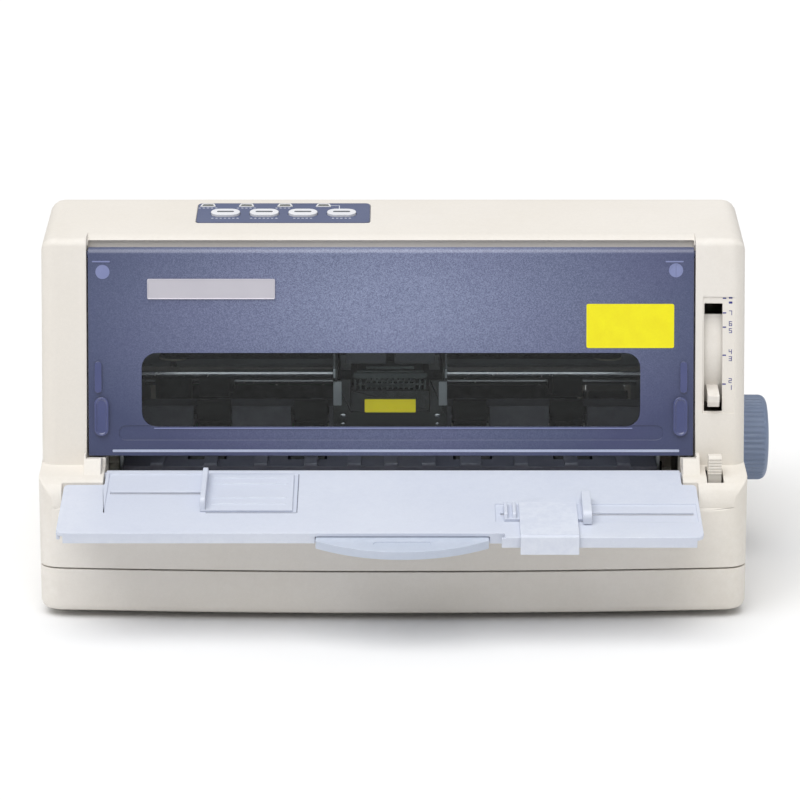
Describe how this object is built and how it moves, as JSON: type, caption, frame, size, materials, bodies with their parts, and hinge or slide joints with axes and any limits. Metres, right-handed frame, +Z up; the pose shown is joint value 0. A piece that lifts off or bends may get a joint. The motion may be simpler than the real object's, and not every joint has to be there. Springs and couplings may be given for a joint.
{
  "type": "dot matrix printer",
  "caption": "Flatbed dot matrix printer with a tinted front cover, folding sheet tray, platen knob, and a carriage and tractor paper feed inside.",
  "frame": {"origin": "middle of the whole printer's footprint, on the desk", "axes": "+X to the right of someone who faces the front, +Y to the back, +Z up"},
  "size_m": [0.456, 0.4236, 0.2367],
  "materials": {
    "ivory_case": "fine matte texture",
    "tray_plastic": "fine matte texture",
    "tinted_plastic": "clear gloss outside, frosted inside",
    "window_pane": "clear acrylic",
    "knob_plastic": "satin",
    "panel_film": "satin film",
    "white_plastic": "satin",
    "light_lens": "clear lens",
    "rubber": "matte",
    "grey_plastic": "satin",
    "dark_plastic": "satin",
    "sheet_steel": "zinc plated",
    "bright_steel": "ground and polished",
    "cast_alloy": "cast, matte",
    "nylon": "natural nylon",
    "brass": "turned",
    "circuit_board": "solder mask"
  },
  "bodies": {
    "casing": {"lower_case": "ivory_case", "upper_case": "ivory_case", "control_panel": "panel_film", "status_lights": "light_lens", "panel_board": "circuit_board", "pinch_roller_guide": "grey_plastic", "lower_paper_guide": "grey_plastic", "rear_paper_guide": "grey_plastic", "platen_bar": "rubber", "left_side_frame": "sheet_steel", "right_side_frame": "sheet_steel", "chassis_pan": "sheet_steel", "guide_rod": "bright_steel", "rear_rail": "sheet_steel", "carriage_belt": "rubber", "carriage_motor": "dark_plastic", "feed_motor": "dark_plastic", "tractor_rod": "bright_steel", "main_board": "circuit_board", "power_supply": "sheet_steel", "power_inlet": "dark_plastic", "rubber_feet": "rubber", "case_screws": "sheet_steel"},
    "front_cover": {"front_cover": "tinted_plastic", "cover_window": "window_pane", "cover_bumpers": "rubber"},
    "rear_cover": {"rear_cover": "ivory_case"},
    "paper_tray": {"paper_tray": "tray_plastic"},
    "left_edge_guide": {"left_edge_guide": "tray_plastic"},
    "right_edge_guide": {"right_edge_guide": "tray_plastic"},
    "tray_extension": {"tray_extension": "tray_plastic"},
    "eject_button": {"eject_button": "white_plastic"},
    "feed_button": {"feed_button": "white_plastic"},
    "speed_button": {"speed_button": "white_plastic"},
    "online_button": {"online_button": "white_plastic"},
    "thickness_lever": {"thickness_lever": "ivory_case"},
    "release_lever": {"release_lever": "ivory_case"},
    "rear_feed": {"platen_knob": "knob_plastic", "rear_feed_roller": "rubber", "rear_feed_gear": "nylon"},
    "front_feed": {"front_feed_roller": "rubber", "front_feed_gear": "nylon"},
    "idler_gear": {"idler_gear": "nylon"},
    "long_idler_gear": {"long_idler_gear": "nylon"},
    "tractor_drive": {"tractor_shaft": "bright_steel", "tractor_gear": "nylon"},
    "feed_pinion": {"feed_pinion": "brass"},
    "rear_pinch_roller": {"rear_pinch_roller": "rubber"},
    "front_pinch_roller": {"front_pinch_roller": "rubber"},
    "carriage": {"carriage": "dark_plastic", "print_head": "cast_alloy", "ribbon_cassette": "dark_plastic"},
    "ribbon_knob": {"ribbon_knob": "dark_plastic"},
    "motor_pulley": {"motor_pulley": "nylon"},
    "idler_pulley": {"idler_pulley": "nylon"},
    "left_tractor": {"left_tractor": "dark_plastic"},
    "right_tractor": {"right_tractor": "dark_plastic"},
    "left_tractor_door": {"left_tractor_door": "dark_plastic"},
    "right_tractor_door": {"right_tractor_door": "dark_plastic"},
    "power_switch": {"power_switch": "dark_plastic"}
  },
  "joints": [
    {"name": "front_cover_hinge", "type": "hinge", "parent": "casing", "child": "front_cover", "pos_m": [-0.0143, -0.08515, 0.2149], "axis": [-1, 0, 0], "range_deg": [0, 95]},
    {"name": "rear_cover_hinge", "type": "hinge", "parent": "casing", "child": "rear_cover", "pos_m": [-0.0143, 0.12217, 0.19821], "axis": [1, 0, 0], "range_deg": [0, 85]},
    {"name": "tray_hinge", "type": "hinge", "parent": "casing", "child": "paper_tray", "pos_m": [-0.013, -0.11615, 0.083], "axis": [-1, 0, 0], "range_deg": [0, 80]},
    {"name": "left_guide_slide", "type": "slide", "parent": "paper_tray", "child": "left_edge_guide", "axis": [-1, 0, 0], "range_m": [0, 0.055]},
    {"name": "right_guide_slide", "type": "slide", "parent": "paper_tray", "child": "right_edge_guide", "axis": [1, 0, 0], "range_m": [0, 0.06]},
    {"name": "extension_slide", "type": "slide", "parent": "paper_tray", "child": "tray_extension", "axis": [0, -0.9744, -0.225], "range_m": [0, 0.06]},
    {"name": "eject_button_press", "type": "slide", "parent": "casing", "child": "eject_button", "axis": [0, 0.1711, -0.9853], "range_m": [0, 0.0012], "stiffness_N_per_m": 400},
    {"name": "feed_button_press", "type": "slide", "parent": "casing", "child": "feed_button", "axis": [0, 0.1711, -0.9853], "range_m": [0, 0.0012], "stiffness_N_per_m": 400},
    {"name": "speed_button_press", "type": "slide", "parent": "casing", "child": "speed_button", "axis": [0, 0.1711, -0.9853], "range_m": [0, 0.0012], "stiffness_N_per_m": 400},
    {"name": "online_button_press", "type": "slide", "parent": "casing", "child": "online_button", "axis": [0, 0.1711, -0.9853], "range_m": [0, 0.0012], "stiffness_N_per_m": 400},
    {"name": "thickness_lever_turn", "type": "hinge", "parent": "casing", "child": "thickness_lever", "pos_m": [0.1822, -0.03816, 0.15], "axis": [-1, 0, 0], "range_deg": [0, 42]},
    {"name": "release_lever_turn", "type": "hinge", "parent": "casing", "child": "release_lever", "pos_m": [0.1822, -0.12115, 0.058], "axis": [1, 0, 0], "range_deg": [-12, 12]},
    {"name": "rear_feed_spin", "type": "hinge", "parent": "casing", "child": "rear_feed", "pos_m": [-0.015, 0.02184, 0.0745], "axis": [1, 0, 0], "continuous": true},
    {"name": "front_feed_spin", "type": "hinge", "parent": "casing", "child": "front_feed", "pos_m": [-0.015, -0.05815, 0.0745], "axis": [1, 0, 0], "continuous": true},
    {"name": "idler_gear_spin", "type": "hinge", "parent": "casing", "child": "idler_gear", "pos_m": [-0.18, -0.01816, 0.0745], "axis": [1, 0, 0], "continuous": true},
    {"name": "long_idler_spin", "type": "hinge", "parent": "casing", "child": "long_idler_gear", "pos_m": [-0.18, 0.06599, 0.08325], "axis": [1, 0, 0], "continuous": true},
    {"name": "tractor_spin", "type": "hinge", "parent": "casing", "child": "tractor_drive", "pos_m": [-0.015, 0.11013, 0.092], "axis": [1, 0, 0], "continuous": true},
    {"name": "feed_pinion_spin", "type": "hinge", "parent": "casing", "child": "feed_pinion", "pos_m": [-0.18, -0.01816, 0.04825], "axis": [1, 0, 0], "continuous": true},
    {"name": "rear_pinch_spin", "type": "hinge", "parent": "casing", "child": "rear_pinch_roller", "pos_m": [-0.015, 0.02184, 0.0924], "axis": [1, 0, 0], "continuous": true},
    {"name": "front_pinch_spin", "type": "hinge", "parent": "casing", "child": "front_pinch_roller", "pos_m": [-0.015, -0.05815, 0.0924], "axis": [1, 0, 0], "continuous": true},
    {"name": "carriage_slide", "type": "slide", "parent": "casing", "child": "carriage", "axis": [1, 0, 0], "range_m": [-0.118, 0.118]},
    {"name": "ribbon_knob_turn", "type": "hinge", "parent": "carriage", "child": "ribbon_knob", "pos_m": [0.003, 0.01885, 0.135], "axis": [0, 0, 1], "continuous": true},
    {"name": "motor_pulley_spin", "type": "hinge", "parent": "casing", "child": "motor_pulley", "pos_m": [-0.157, 0.05384, 0.124], "axis": [0, 0, 1], "continuous": true},
    {"name": "idler_pulley_spin", "type": "hinge", "parent": "casing", "child": "idler_pulley", "pos_m": [0.127, 0.05384, 0.124], "axis": [0, 0, 1], "continuous": true},
    {"name": "left_tractor_slide", "type": "slide", "parent": "casing", "child": "left_tractor", "axis": [1, 0, 0], "range_m": [0, 0.08]},
    {"name": "right_tractor_slide", "type": "slide", "parent": "casing", "child": "right_tractor", "axis": [-1, 0, 0], "range_m": [0, 0.08]},
    {"name": "left_door_turn", "type": "hinge", "parent": "left_tractor", "child": "left_tractor_door", "pos_m": [-0.14, 0.11013, 0.1035], "axis": [0, -1, 0], "range_deg": [0, 85]},
    {"name": "right_door_turn", "type": "hinge", "parent": "right_tractor", "child": "right_tractor_door", "pos_m": [0.11, 0.11013, 0.1035], "axis": [0, 1, 0], "range_deg": [0, 85]},
    {"name": "power_switch_rock", "type": "hinge", "parent": "casing", "child": "power_switch", "pos_m": [0.099, 0.20585, 0.058], "axis": [-1, 0, 0], "range_deg": [0, 16]}
  ],
  "couplings": [
    {"joint": "front_feed_spin", "follows": "rear_feed_spin", "ratio": 1},
    {"joint": "idler_gear_spin", "follows": "rear_feed_spin", "ratio": -1},
    {"joint": "long_idler_spin", "follows": "rear_feed_spin", "ratio": -0.8},
    {"joint": "tractor_spin", "follows": "rear_feed_spin", "ratio": 1},
    {"joint": "feed_pinion_spin", "follows": "rear_feed_spin", "ratio": 3.2},
    {"joint": "rear_pinch_spin", "follows": "rear_feed_spin", "ratio": -1.5217},
    {"joint": "front_pinch_spin", "follows": "rear_feed_spin", "ratio": -1.5217},
    {"joint": "motor_pulley_spin", "follows": "carriage_slide", "rad_per_m": 125},
    {"joint": "idler_pulley_spin", "follows": "carriage_slide", "rad_per_m": 125}
  ]
}
